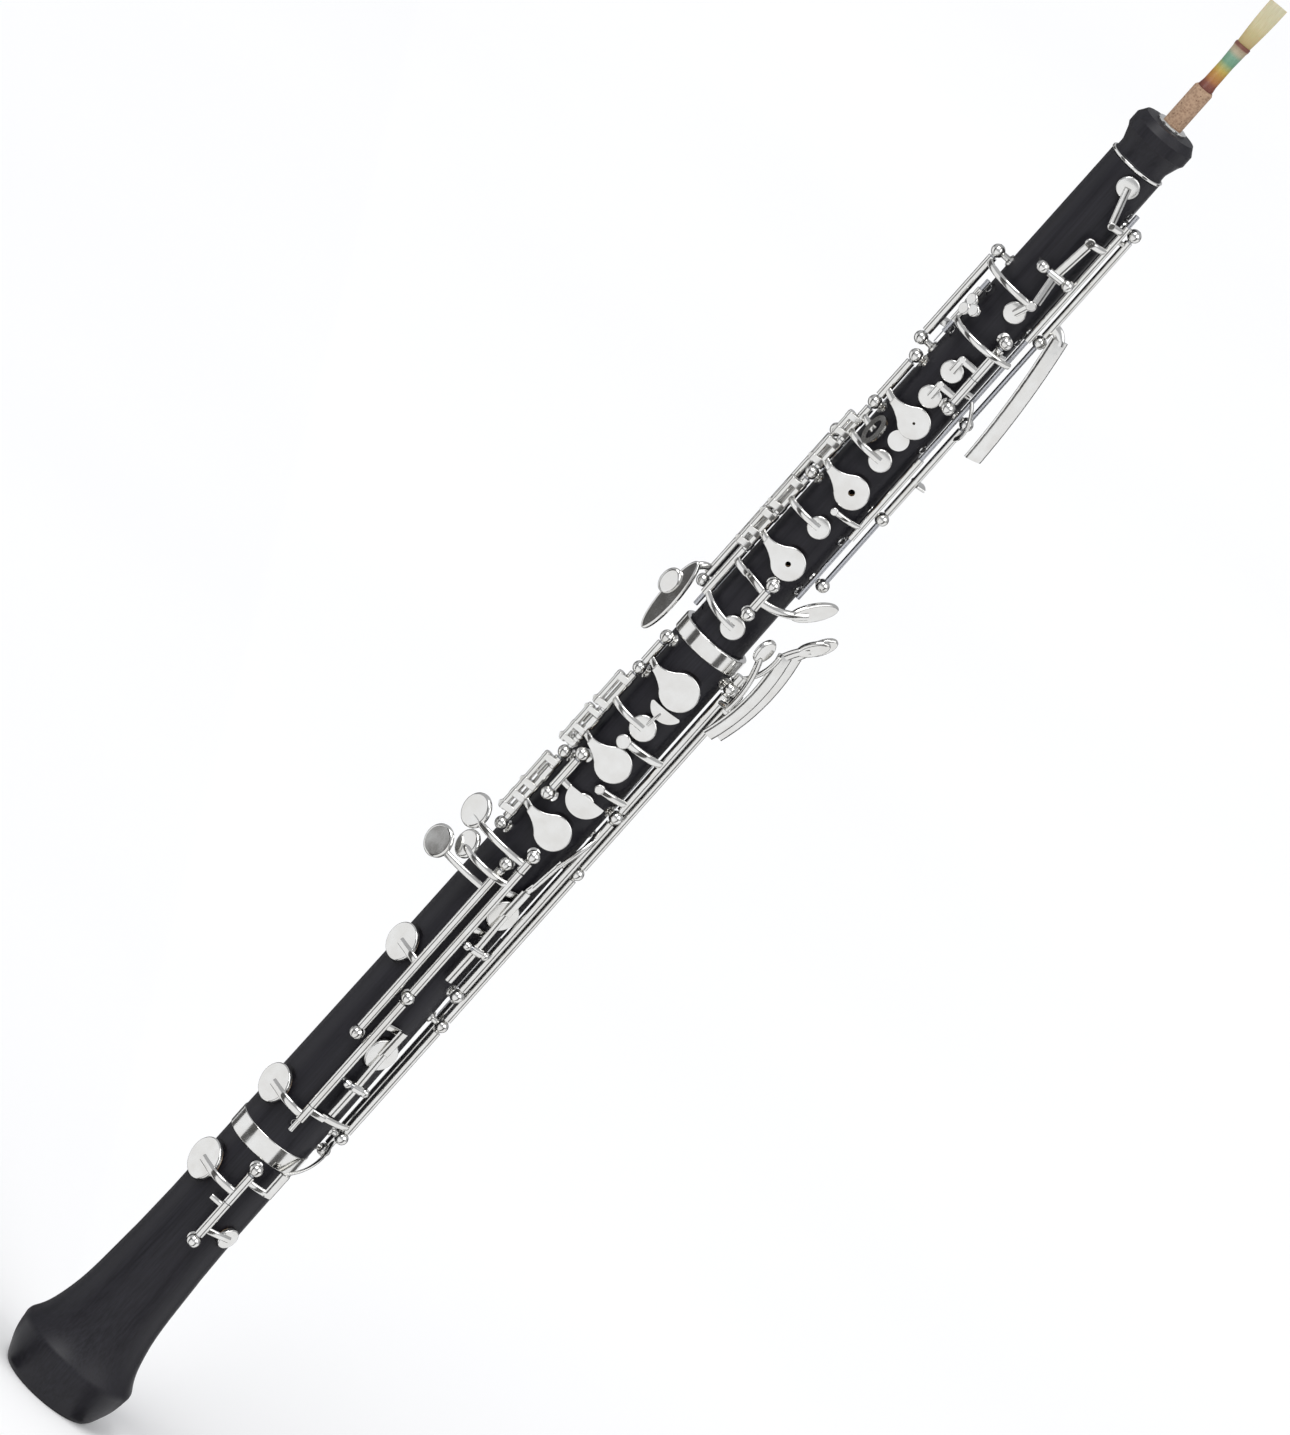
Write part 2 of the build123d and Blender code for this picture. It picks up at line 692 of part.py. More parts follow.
# ---------------------------------------------------------------- thumb rest on the back
THUMB_REST = 312.0
with BuildPart() as thumb_rest:
    back = body_radius(THUMB_REST) + 0.1
    with BuildSketch(Plane.XZ.offset(-back)):
        with Locations((0, THUMB_REST)):
            RectangleRounded(9, 34, 3)
    extrude(amount=-1.6)
    with BuildSketch(Plane.XY.offset(THUMB_REST)):
        with Locations((0, back + 10.5)):
            RectangleRounded(16, 20, 3)
    extrude(amount=2.4)
    with BuildSketch(Plane.YZ.offset(-1.1)):
        with Locations((back + 4.3, THUMB_REST + 11)):
            Circle(4.2)
            Circle(2.5, mode=Mode.SUBTRACT)
    extrude(amount=2.2)
    with BuildPart(mode=Mode.SUBTRACT):
        with BuildSketch(Plane.XY.offset(THUMB_REST - 20)):
            Circle(back)
        extrude(amount=40)
save(thumb_rest, "thumb_rest")

# ---------------------------------------------------------------- reed
REED_CORK_TOP = 610.5
THREAD_TOP = 630.5
with BuildPart() as reed_staple:
    with BuildSketch(Plane.XZ):
        with BuildLine():
            Polyline(
                (1.9, 577.0), (2.5, 577.0), (1.75, 629.0), (1.35, 629.0), (1.9, 577.0),
            )
        make_face()
    revolve(axis=Axis.Z, revolution_arc=360)
save(reed_staple, "reed_staple")

with BuildPart() as reed_cork:
    with BuildSketch(Plane.XZ):
        with BuildLine():
            Polyline(
                (2.55, 577.2), (3.6, 577.2), (3.72, 578.0), (3.72, 609.7), (3.2, REED_CORK_TOP),
                (2.1, REED_CORK_TOP), (2.55, 577.2),
            )
        make_face()
    revolve(axis=Axis.Z, revolution_arc=360)
save(reed_cork, "reed_cork")

with BuildPart() as reed_thread:
    with BuildSketch(Plane.XZ):
        with BuildLine():
            Polyline(
                (2.1, REED_CORK_TOP + 0.02), (2.9, REED_CORK_TOP + 0.02), (2.55, 613.0), (2.45, 622.0),
                (2.75, 628.6), (3.0, 629.2), (3.0, 630.2), (2.6, THREAD_TOP), (1.8, THREAD_TOP),
                (1.8, 629.1), (2.1, REED_CORK_TOP + 0.02),
            )
        make_face()
    revolve(axis=Axis.Z, revolution_arc=360)
save(reed_thread, "reed_thread")

with BuildPart() as reed_cane:
    outside = ((THREAD_TOP + 0.02, 2.7, 1.7), (638.0, 3.3, 1.0), (REED_TIP, 3.6, 0.3))
    for height, half_width, half_thick in outside:
        with BuildSketch(Plane.XY.offset(height)):
            Ellipse(half_width, half_thick)
    loft()
    inside = ((THREAD_TOP - 1, 1.9, 0.9), (640.0, 2.6, 0.35), (REED_TIP + 1, 3.0, 0.08))
    for height, half_width, half_thick in inside:
        with BuildSketch(Plane.XY.offset(height)):
            Ellipse(half_width, half_thick)
    loft(mode=Mode.SUBTRACT)
save(reed_cane, "reed_cane")

# ---------------------------------------------------------------- bell keys
BELL_VENT_SPAN = (81.9, 97.0)
with BuildPart() as bell_vent_key:
    low, high = BELL_VENT_SPAN
    add(tube("bell", low, high))
    add(cup("bell_vent"))
    add(cup_arm("bell_vent", "bell", 84.8))
    add(arm("bell", 95.4, -18, 18.6, 95.4, width=2.2))
    add(pad_space("bell_vent"), mode=Mode.SUBTRACT)
    add(bore("bell", low, high), mode=Mode.SUBTRACT)
save(bell_vent_key, "bell_vent_key")

with BuildPart() as b_flat_key:
    low, high = BELL_VENT_SPAN[1] + GAP, 109.8
    add(tube("bell", low, high))
    add(cup("b_flat"))
    add(cup_arm("b_flat", "bell", 101.5, width=3.0))
    add(arm("bell", 107.6, 30, 19.0, 107.6))
    add(long_bar(at(30, 19.0, 106.6), at(30, 19.0, 116.8), 30, 5.0, 1.6))
    add(pad_space("b_flat"), mode=Mode.SUBTRACT)
    add(bore("bell", low, high), mode=Mode.SUBTRACT)
save(b_flat_key, "b_flat_key", "b_flat")

# ---------------------------------------------------------------- lower joint: little-finger keys
with BuildPart() as low_b_key:
    low, high = 136.0, 142.4
    add(tube("front", low, high))
    add(cup("low_b"))
    add(cup_arm("low_b", "front", 137.6, width=3.0))
    add(arm("front", 140.8, 24, 16.7, 140.8, thick=1.2))
    add(pad_space("low_b"), mode=Mode.SUBTRACT)
    add(bore("front", low, high), mode=Mode.SUBTRACT)
save(low_b_key, "low_b_key", "low_b")

C_SHARP_LOW = 142.8
with BuildPart() as c_sharp_lever:
    add(tube("front", C_SHARP_LOW, 191.0))
    add(tube("front", 253.4, 257.6))
    add(tube("front", 131.0, 262.4, ROD))
    add(arm("front", 180.9, 28, 14.2, 180.9, thick=0.9))
    add(arched_bar(at(-76, 24.5, 255.9), at(-38, 19.6, 255.9), on_hinge("front", 255.9), 2.6, 1.6))
    add(paddle(at(-76, 24.5, 257.6), -50, 13.0, 12.4))
save(c_sharp_lever, "c_sharp_lever")


def rocker(name, tail_length, tongue_length):
    """Cup on a lengthwise bar that rocks on a cross axle, with a tail and a tongue."""
    angle, cup_height, radius, _ = CUPS[name]
    _, axle_height, axle_distance = ROCKERS[name]
    over_cup = seat_distance(cup_height, radius) + CUP_TOP + 0.3
    with BuildPart() as shape:
        add(cup(name))
        over, axle = at(angle, over_cup, cup_height + 1.0), at(angle, axle_distance, axle_height)
        add(long_bar(over, axle, angle, 3.0, 1.6))
        add(
            long_bar(
                at(angle, axle_distance, axle_height + 1.0),
                at(angle, axle_distance - 0.2, axle_height - tail_length), angle, 3.2, 1.8,
            )
        )
        add(
            long_bar(
                at(angle, over_cup, cup_height), at(angle, over_cup + 0.3, cup_height + tongue_length),
                angle, 4.0, 1.2,
            )
        )
        add(pad_space(name), mode=Mode.SUBTRACT)
        add(cross_axle(angle, axle_height, axle_distance, 2.3, TUBE))
        add(
            cross_axle(angle, axle_height, axle_distance, 6, ROD + ROD_CLEARANCE),
            mode=Mode.SUBTRACT,
        )
    return shape.part


with BuildPart() as c_sharp_key:
    add(rocker("c_sharp", 13.0, 11.4))
save(c_sharp_key, "c_sharp_key")

with BuildPart() as e_flat_key:
    add(rocker("e_flat", 14.5, 11.8))
save(e_flat_key, "e_flat_key")

with BuildPart() as low_c_key:
    low, high = 175.2, 249.3
    add(tube("second", low, high))
    add(cup("low_c"))
    add(cup_arm("low_c", "second", 205.0, width=3.0))
    add(arched_bar(at(-78, 26.4, 240.4), at(-52, 20.6, 240.4), on_hinge("second", 240.4), 2.6, 1.6))
    add(paddle(at(-78, 26.6, 241.4), -50, 12.4, 11.6))
    add(pad_space("low_c"), mode=Mode.SUBTRACT)
    add(bore("second", low, high), mode=Mode.SUBTRACT)
save(low_c_key, "low_c_key", "low_c")

with BuildPart() as e_flat_lever:
    low, high = 196.2, 252.8
    add(tube("front", low, high))
    add(arm("front", 226.8, 27, 14.0, 226.8, thick=0.9))
    add(arm("front", 244.2, 27, 14.0, 244.2, thick=0.9))
    add(arched_bar(at(-62, 21.8, 246.6), at(-28, 21.3, 246.6), on_hinge("front", 246.6), 2.6, 1.6))
    add(paddle(at(-62, 21.8, 247.6), -50, 11.0, 9.6))
    add(bore("front", low, high), mode=Mode.SUBTRACT)
save(e_flat_lever, "e_flat_lever")

# ---------------------------------------------------------------- lower joint: finger plates
with BuildPart() as d_key:
    low, high = 262.9, 290.8
    add(tube("lower_stack", low, high))
    add(cup("d"))
    add(finger_plate("d"))
    add(plate_arm("d", "lower_stack", 272.2))
    add(collar("lower_stack", 284.0, 5.0, 2.2))
    add(pad_space("d"), mode=Mode.SUBTRACT)
    add(bore("lower_stack", low, high), mode=Mode.SUBTRACT)
save(d_key, "d_key", "d")

with BuildPart() as fork_f_key:
    low, high = 282.7, 295.4
    angle, height, radius, _ = CUPS["fork_f"]
    add(tube("fork", low, high))
    add(cup("fork_f"))
    plane = facing(angle, plate_height("fork_f") - PLATE_THICK / 2, height)
    with BuildSketch(plane):
        with BuildLine():
            edge = Line((3.4, -7.0), (3.4, 7.6))
            ThreePointArc(edge @ 1, (-4.4, 0.3), edge @ 0)
        make_face()
    extrude(amount=PLATE_THICK + 0.25)
    add(arm("fork", 286.8, angle, plate_height("fork_f"), 286.4))
    add(pad_space("fork_f"), mode=Mode.SUBTRACT)
    add(bore("fork", low, high), mode=Mode.SUBTRACT)
save(fork_f_key, "fork_f_key")

with BuildPart() as e_key:
    low, high = 296.4, 313.2
    add(tube("lower_stack", low, high))
    add(cup("e"))
    add(finger_plate("e"))
    add(plate_arm("e", "lower_stack", 304.0))
    for ridge in range(3):
        add(collar("lower_stack", 298.2 + 1.6 * ridge, 0.9, 2.3))
    add(collar("lower_stack", 308.0, 4.0, 2.5))
    add(pad_space("e"), mode=Mode.SUBTRACT)
    add(bore("lower_stack", low, high), mode=Mode.SUBTRACT)
save(e_key, "e_key", "e")

with BuildPart() as f_vent_key:
    low, high = 313.5, 330.2
    angle, height, radius, _ = CUPS["f_vent"]
    add(tube("lower_stack", low, high))
    add(cup("f_vent"))
    add(cup_arm("f_vent", "lower_stack", 319.6))
    plane = facing(4, seat_distance(height, radius) + 1.3, height + 8.2)
    with BuildSketch(plane):
        with BuildLine():
            outer = ThreePointArc((1.6, -5.4), (-1.9, 0), (1.6, 5.4))
            inner = ThreePointArc(outer @ 1, (1.3, 0), outer @ 0)
        make_face()
        offset(amount=0.7)
    extrude(amount=1.3)
    add(arched_bar(at(-2, 14.2, 321.0), at(-1, 14.4, 324.0), at(1, 14.1, 327.0), 2.4, 1.3))
    add(pad_space("f_vent"), mode=Mode.SUBTRACT)
    add(bore("lower_stack", low, high), mode=Mode.SUBTRACT)
save(f_vent_key, "f_vent_key", "f_vent")

with BuildPart() as f_sharp_key:
    low, high = 335.8, 344.6
    add(tube("lower_stack", low, high))
    add(cup("f_sharp"))
    add(finger_plate("f_sharp"))
    add(plate_arm("f_sharp", "lower_stack", 338.4))
    add(pad_space("f_sharp"), mode=Mode.SUBTRACT)
    add(bore("lower_stack", low, high), mode=Mode.SUBTRACT)
save(f_sharp_key, "f_sharp_key", "f_sharp")

# ---------------------------------------------------------------- left-hand levers on the right side
with BuildPart() as left_f_lever:
    low, high = 290.1, 344.5
    add(tube("inner_side", low, high))
    add(arm("inner_side", 292.9, 6, 15.6, 292.9))
    add(button(at(6, 15.4, 292.9), 6, 1.9, 1.9))
    add(arm("inner_side", 311.7, -8, 16.6, 311.9, width=3.0))
    add(long_bar(at(56, 16.5, 341.8), at(53, 21.0, 343.0), 54, 3.0, 3.0))
    add(arched_bar(at(53, 20.5, 341.9), at(51, 20.9, 353.0), at(48, 18.4, 363.0), 3.0, 1.8))
    add(bore("inner_side", low, high), mode=Mode.SUBTRACT)
    add(button(at(-12, 16.6, 311.4), -12, 2.6, 1.6))
    add(paddle(at(47, 18.2, 366.0), 40, 9.6, 8.0))
save(left_f_lever, "left_f_lever")

with BuildPart() as left_e_flat_lever:
    add(tube("inner_side", 205.8, 284.4))
    add(tube("inner_side", 200.6, 352.6, ROD))
    add(tube("inner_side", 350.2, 353.4, 1.9))
    add(arched_bar(on_hinge("inner_side", 277.0), at(44, 17.3, 272.0), at(36, 16.0, 262.0), 3.0, 1.7))
    add(long_bar(at(36, 16.0, 264.0), at(33, 14.6, 250.4), 36, 2.6, 1.3))
    add(long_bar(at(33, 14.6, 251.2), at(30, 13.9, 245.8), 31, 3.0, 0.8))
    add(leaf(at(58, 16.4, 352.0), at(60, 20.4, 358.0), at(61, 21.8, 367.0), 61, 3.4, 1.8))
save(left_e_flat_lever, "left_e_flat_lever")


BLADE_FACE = 35


def side_touch(line, height, angle, reach, lean):
    """Long blade beside the hinge with an oval touch at its top."""
    with BuildPart() as shape:
        add(long_bar(on_hinge(line, height), at(angle, reach - 1.2, height), angle, 4.0, 4.0))
        low_end, bow = at(angle, reach - 3.5, 329.0), at(angle, reach, 347.0)
        top = at(angle, reach - 1.6, 368.0)
        add(leaf(low_end, bow, top, BLADE_FACE, 7.0, 2.0))
        root, knuckle, tip = (
            at(angle, reach - 1.7, 366.5), at(angle, reach + 0.6, 371.0), at(angle, reach + lean / 2, 375.0),
        )
        add(leaf(root, knuckle, tip, BLADE_FACE, 4.6, 2.0))
        add(spoon(knuckle, at(angle, reach + lean, 381.0), BLADE_FACE, 6.8))
    return shape.part


def sleeved_rod(line, low, high):
    """A rod that turns with its key, in sleeves that stop short of each post."""
    heights = POSTS[line]
    with BuildPart() as shape:
        add(tube(line, heights[0] - 2.2, heights[-1] + 2.2, ROD))
        edges = [low] + [edge for h in heights[1:-1] for edge in (h - BALL - GAP, h + BALL + GAP)] + [high]
        for start, end in zip(edges[::2], edges[1::2]):
            add(tube(line, start, end))
    return shape.part


with BuildPart() as low_b_lever:
    add(sleeved_rod("outer_side", 139.5, 342.9))
    add(arm("outer_side", 141.0, 20, 15.0, 141.0, width=2.4, thick=1.0))
    add(side_touch("outer_side", 339.6, 76, 23.4, 7.5))
save(low_b_lever, "low_b_lever")

with BuildPart() as b_flat_lever:
    add(sleeved_rod("hidden_side", 130.4, 344.5))
    add(arched_bar(on_hinge("hidden_side", 132.4), at(70, 17.8, 125.0), at(32, 15.8, 115.2), 2.8, 1.2))
    add(side_touch("hidden_side", 341.0, 97, 27.4, 6.5))
save(b_flat_lever, "b_flat_lever")

# ---------------------------------------------------------------- upper joint: G sharp
with BuildPart() as g_sharp_key:
    low, high = 366.6, 387.2
    add(tube("upper_stack", low, high))
    add(cup("g_sharp"))
    angle, height, radius, _ = CUPS["g_sharp"]
    add(arm("upper_stack", 368.2, angle, seat_distance(height, radius) + CUP_TOP - 0.1, height))
    add(arm("upper_stack", 383.0, -38, 14.9, 383.0, thick=1.2))
    add(pad_space("g_sharp"), mode=Mode.SUBTRACT)
    add(bore("upper_stack", low, high), mode=Mode.SUBTRACT)
save(g_sharp_key, "g_sharp_key")

with BuildPart() as g_sharp_lever:
    low, high = 375.7, 383.3
    add(tube("g_sharp", low, high))
    add(arm("g_sharp", 381.8, -46, 12.9, 382.8, thick=1.0))
    add(arched_bar(on_hinge("g_sharp", 379.0), at(28, 17.6, 381.0), at(52, 20.4, 385.0), 3.0, 1.8))
    add(bore("g_sharp", low, high), mode=Mode.SUBTRACT)
    add(spoon(at(36, 18.6, 381.6), at(76, 24.6, 392.2), 30, 7.4))
save(g_sharp_lever, "g_sharp_lever")

# ---------------------------------------------------------------- upper joint: main stack
with BuildPart() as third_finger_key:
    low, high = 387.5, 404.0
    add(tube("upper_stack", low, high))
    add(cup("third_finger"))
    add(finger_plate("third_finger"))
    add(plate_arm("third_finger", "upper_stack", 396.4))
    add(pad_space("third_finger"), mode=Mode.SUBTRACT)
    add(bore("upper_stack", low, high), mode=Mode.SUBTRACT)
    with BuildSketch(facing(CUPS["third_finger"][0], 9, CUPS["third_finger"][1])):
        Circle(PLATE_HOLES["third_finger"])
    extrude(amount=8, mode=Mode.SUBTRACT)
save(third_finger_key, "third_finger_key", "third_finger")

with BuildPart() as b_vent_key:
    low, high = 404.3, 420.0
    add(tube("upper_stack", low, high))
    add(cup("b_vent"))
    add(cup_arm("b_vent", "upper_stack", 411.5))
    add(pad_space("b_vent"), mode=Mode.SUBTRACT)
    add(bore("upper_stack", low, high), mode=Mode.SUBTRACT)
save(b_vent_key, "b_vent_key", "b_vent")

with BuildPart() as second_finger_key:
    low, high = 425.6, 438.0
    add(tube("upper_stack", low, high))
    add(cup("second_finger"))
    add(finger_plate("second_finger"))
    add(plate_arm("second_finger", "upper_stack", 429.6))
    add(pad_space("second_finger"), mode=Mode.SUBTRACT)
    add(bore("upper_stack", low, high), mode=Mode.SUBTRACT)
    with BuildSketch(facing(CUPS["second_finger"][0], 9, CUPS["second_finger"][1])):
        Circle(PLATE_HOLES["second_finger"])
    extrude(amount=8, mode=Mode.SUBTRACT)
save(second_finger_key, "second_finger_key", "second_finger")

with BuildPart() as c_vent_key:
    low, high = 438.3, 452.8
    add(tube("upper_stack", low, high))
    add(cup("c_vent"))
    add(cup_arm("c_vent", "upper_stack", 442.9))
    add(arm("upper_stack", 449.6, -38, 14.2, 449.6))
    plane = facing(-38, 13.6, 449.8)
    with BuildSketch(plane):
        Ellipse(5.9, 3.0)
        Ellipse(3.9, 1.3, mode=Mode.SUBTRACT)
    extrude(amount=1.5)
    add(pad_space("c_vent"), mode=Mode.SUBTRACT)
    add(bore("upper_stack", low, high), mode=Mode.SUBTRACT)
save(c_vent_key, "c_vent_key", "c_vent")

with BuildPart() as half_hole_key:
    low, high = 458.4, 474.2
    add(tube("upper_stack", low, high))
    add(cup("half_hole"))
    add(finger_plate("half_hole"))
    add(plate_arm("half_hole", "upper_stack", 462.0))
    angle, height, radius, _ = CUPS["half_hole"]
    under_side = plate_height("half_hole") - PLATE_THICK / 2
    with BuildSketch(facing(angle, under_side, height - radius - 2.2)):
        Circle(3.7)
    extrude(amount=PLATE_THICK)
    add(pad_space("half_hole"), mode=Mode.SUBTRACT)
    add(bore("upper_stack", low, high), mode=Mode.SUBTRACT)
    with BuildSketch(facing(angle, 9, height)):
        Circle(PLATE_HOLES["half_hole"])
    extrude(amount=8, mode=Mode.SUBTRACT)
save(half_hole_key, "half_hole_key", "half_hole")

# ---------------------------------------------------------------- upper joint: right side rods
with BuildPart() as balance_lever:
    low, high = 414.5, 451.2
    add(tube("inner_right", low, high, SLIM_TUBE))
    add(arm("inner_right", 419.7, -6, 14.6, 419.7, width=2.0, thick=1.3))
    add(button(at(-6, 14.7, 419.7), -6, 1.4, 2.4))
    add(bore("inner_right", low, high), mode=Mode.SUBTRACT)
save(balance_lever, "balance_lever")

with BuildPart() as trill_lever:
    low, high = 428.7, 467.3
    add(tube("outer_right", low, high, SLIM_TUBE))
    add(arched_bar(on_hinge("outer_right", 463.4), at(57, 17.8, 466.4), at(36, 15.7, 478.6), 2.4, 1.4))
    add(long_bar(at(68, 15.6, 443.0), at(76, 18.4, 443.0), 68, 6.0, 2.4))
    add(bore("outer_right", low, high), mode=Mode.SUBTRACT)
save(trill_lever, "trill_lever")

with BuildPart() as c_trill_key:
    low, high = 474.9, 485.3
    add(tube("trill", low, high))
    add(cup("c_trill"))
    add(offset_arm("c_trill", "trill", 476.4))
    add(arm("trill", 479.4, 37, 13.6, 479.4, thick=1.2))
    add(pad_space("c_trill"), mode=Mode.SUBTRACT)
    add(bore("trill", low, high), mode=Mode.SUBTRACT)
save(c_trill_key, "c_trill_key")

with BuildPart() as d_trill_key:
    low, high = 485.6, 499.2
    add(tube("trill", low, high))
    add(cup("d_trill"))
    add(offset_arm("d_trill", "trill", 488.0))
    add(arm("trill", 496.4, 37, 13.4, 496.4, thick=1.2))
    add(pad_space("d_trill"), mode=Mode.SUBTRACT)
    add(bore("trill", low, high), mode=Mode.SUBTRACT)
save(d_trill_key, "d_trill_key")

with BuildPart() as left_trill_lever:
    low, high = 494.8, 509.2
    add(tube("clover", low, high, SLIM_TUBE))
    add(arched_bar(on_hinge("clover", 496.4), at(-20, 18.2, 496.4), at(36, 17.4, 496.4), 2.4, 1.5))
    add(arched_bar(on_hinge("clover", 503.8), at(-60, 16.6, 503.8), at(-48, 17.4, 503.8), 2.4, 1.5))
    for turn in (90, 210, 330):
        rise, shift = 2.4 * cos(radians(turn)), 2.4 * sin(radians(turn))
        add(button(at(-48, 17.4, 503.8 + rise, shift), -48, 2.3, 1.8))
    add(bore("clover", low, high), mode=Mode.SUBTRACT)
save(left_trill_lever, "left_trill_lever")

with BuildPart() as right_trill_key:
    low, high = 370.7, 435.3
    add(tube("trill_side", low, high))
    add(cup("right_trill"))
    add(cup_arm("right_trill", "trill_side", 430.6))
    add(arched_bar(on_hinge("trill_side", 372.6), at(-102, 19.4, 372.2), at(-99, 21.4, 370.0), 3.0, 2.4))
    add(spoon(at(-97, 21.6, 372.5), at(-92, 21.4, 342.5), -42, 7.6))
    add(paddle(at(-96, 25.0, 361.0), -30, 10.0, 7.0, 1.8))
    add(pad_space("right_trill"), mode=Mode.SUBTRACT)
    add(bore("trill_side", low, high), mode=Mode.SUBTRACT)
save(right_trill_key, "right_trill_key")

# ---------------------------------------------------------------- upper joint: octave keys
with BuildPart() as thumb_octave_key:
    low, high = 484.9, 519.2
    add(tube("thumb", low, high))
    add(cup("thumb_octave"))
    add(arm("thumb", 517.6, 8, 14.6, 517.6))
    add(button(at(8, 14.5, 517.6), 8, 1.9, 1.7))
    add(long_bar(at(8, 14.5, 518.2), at(-1, 12.9, 511.5), 4, 2.6, 1.5))
    add(arched_bar(on_hinge("thumb", 489.0), at(-140, 17.0, 489.0), at(-178, 14.4, 489.0), 3.4, 1.7))
    add(paddle(at(-180, 14.2, 489.6), -180, 16.0, 9.0))
    add(pad_space("thumb_octave"), mode=Mode.SUBTRACT)
    add(bore("thumb", low, high), mode=Mode.SUBTRACT)
save(thumb_octave_key, "thumb_octave_key")

with BuildPart() as octave_link:
    angle, height, distance = SEESAW
    add(cross_axle(*SEESAW, 2.9, 1.8))
    add(long_bar(at(angle, distance + 0.3, height), at(angle + 3, 17.6, height - 11.0), angle, 3.2, 1.6))
    add(long_bar(at(angle, distance + 0.3, height), at(angle + 5, 16.6, height + 15.0), angle, 3.2, 1.6))
    add(cross_axle(*SEESAW, 9, ROD + ROD_CLEARANCE), mode=Mode.SUBTRACT)
save(octave_link, "octave_link")

with BuildPart() as second_octave_key:
    low, high = 506.3, 558.6
    corner = (18, 14.4, 556.2)
    add(tube("inner_right", low, high, SLIM_TUBE))
    add(arm("inner_right", 547.0, 12, 14.2, 547.0))
    add(button(at(12, 14.0, 547.0), 12, 1.9, 1.7))
    add(cup("second_octave"))
    add(arm("inner_right", 555.6, corner[0], corner[1], corner[2]))
    add(button(at(*corner), 18, 1.5, 1.6))
    angle, height, radius, _ = CUPS["second_octave"]
    over_cup = seat_distance(height, radius) + CUP_TOP + 0.1
    add(long_bar(at(*corner), at(angle, over_cup, height), 12, 2.6, 1.5))
    add(long_bar(at(50, 13.4, 552.4), at(63, 14.2, 552.4), 50, 3.0, 1.8))
    add(pad_space("second_octave"), mode=Mode.SUBTRACT)
    add(bore("inner_right", low, high), mode=Mode.SUBTRACT)
save(second_octave_key, "second_octave_key")

with BuildPart() as side_octave_lever:
    low, high = 510.7, 554.2
    add(tube("outer_right", low, high, SLIM_TUBE))
    add(arched_bar(on_hinge("outer_right", 515.0), at(69, 18.6, 514.4), at(70, 20.6, 511.6), 4.0, 2.0))
    add(leaf(at(70, 20.2, 513.0), at(72, 23.6, 486.0), at(75, 24.8, 462.0), BLADE_FACE, 8.6, 1.9))
    add(bore("outer_right", low, high), mode=Mode.SUBTRACT)
save(side_octave_lever, "side_octave_lever")

# ---------------------------------------------------------------- pads
for name in PADDED:
    with BuildPart() as key_pad:
        add(pad(name))
        if name in PLATE_HOLES:
            with BuildSketch(facing(CUPS[name][0], 8, CUPS[name][1])):
                Circle(PLATE_HOLES[name])
            extrude(amount=8, mode=Mode.SUBTRACT)
    save(key_pad, f"{name}_pad", name)
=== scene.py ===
"""Oboe: materials, small detail pieces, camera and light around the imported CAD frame."""

import json
from math import cos, pi, radians, sin, sqrt

import bpy
from mathutils import Matrix, Vector


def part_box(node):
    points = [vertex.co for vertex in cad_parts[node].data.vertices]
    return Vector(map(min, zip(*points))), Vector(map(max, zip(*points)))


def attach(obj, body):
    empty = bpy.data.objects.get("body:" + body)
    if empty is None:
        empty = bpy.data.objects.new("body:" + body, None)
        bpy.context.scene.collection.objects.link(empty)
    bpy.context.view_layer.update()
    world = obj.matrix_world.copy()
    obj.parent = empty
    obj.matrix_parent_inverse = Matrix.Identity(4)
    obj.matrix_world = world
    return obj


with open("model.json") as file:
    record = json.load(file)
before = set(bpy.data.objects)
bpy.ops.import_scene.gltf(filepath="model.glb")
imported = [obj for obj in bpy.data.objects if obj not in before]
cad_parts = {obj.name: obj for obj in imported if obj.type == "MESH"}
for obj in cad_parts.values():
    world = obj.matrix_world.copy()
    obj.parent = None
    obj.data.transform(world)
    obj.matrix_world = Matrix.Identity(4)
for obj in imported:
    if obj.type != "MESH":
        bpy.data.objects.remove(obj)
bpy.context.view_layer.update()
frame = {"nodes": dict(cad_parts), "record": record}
nodes = frame["nodes"]

# ---------------------------------------------------------------- camera
AZIMUTH, ELEVATION, TILT = radians(-12), radians(13), radians(48.31)
FOCAL, SENSOR = 400.0, 36.0
AIM = Vector((0.0, 0.0, 0.3188))
FRAME_HEIGHT = 0.4902


def direction(azimuth, elevation):
    """Unit vector from the object towards an azimuth and elevation."""
    return Vector((cos(elevation) * sin(azimuth), -cos(elevation) * cos(azimuth), sin(elevation)))


def add_camera():
    data = bpy.data.cameras.new("camera")
    camera = bpy.data.objects.new("camera", data)
    bpy.context.scene.collection.objects.link(camera)
    data.lens, data.sensor_width = FOCAL, SENSOR
    data.clip_end = 100.0
    towards = direction(AZIMUTH, ELEVATION)
    level = Vector((cos(AZIMUTH), sin(AZIMUTH), 0.0))
    rise = towards.cross(level)
    right = cos(TILT) * rise + sin(TILT) * level
    up = sin(TILT) * rise - cos(TILT) * level
    distance = FRAME_HEIGHT * FOCAL / SENSOR
    turn = Matrix((right, up, towards)).transposed()
    camera.matrix_world = Matrix.Translation(AIM + towards * distance) @ turn.to_4x4()
    bpy.context.scene.camera = camera


add_camera()


# ---------------------------------------------------------------- shader helpers
# Places of the colour sockets on a mix node
MIX_FIRST, MIX_SECOND, MIX_RESULT = 6, 7, 2


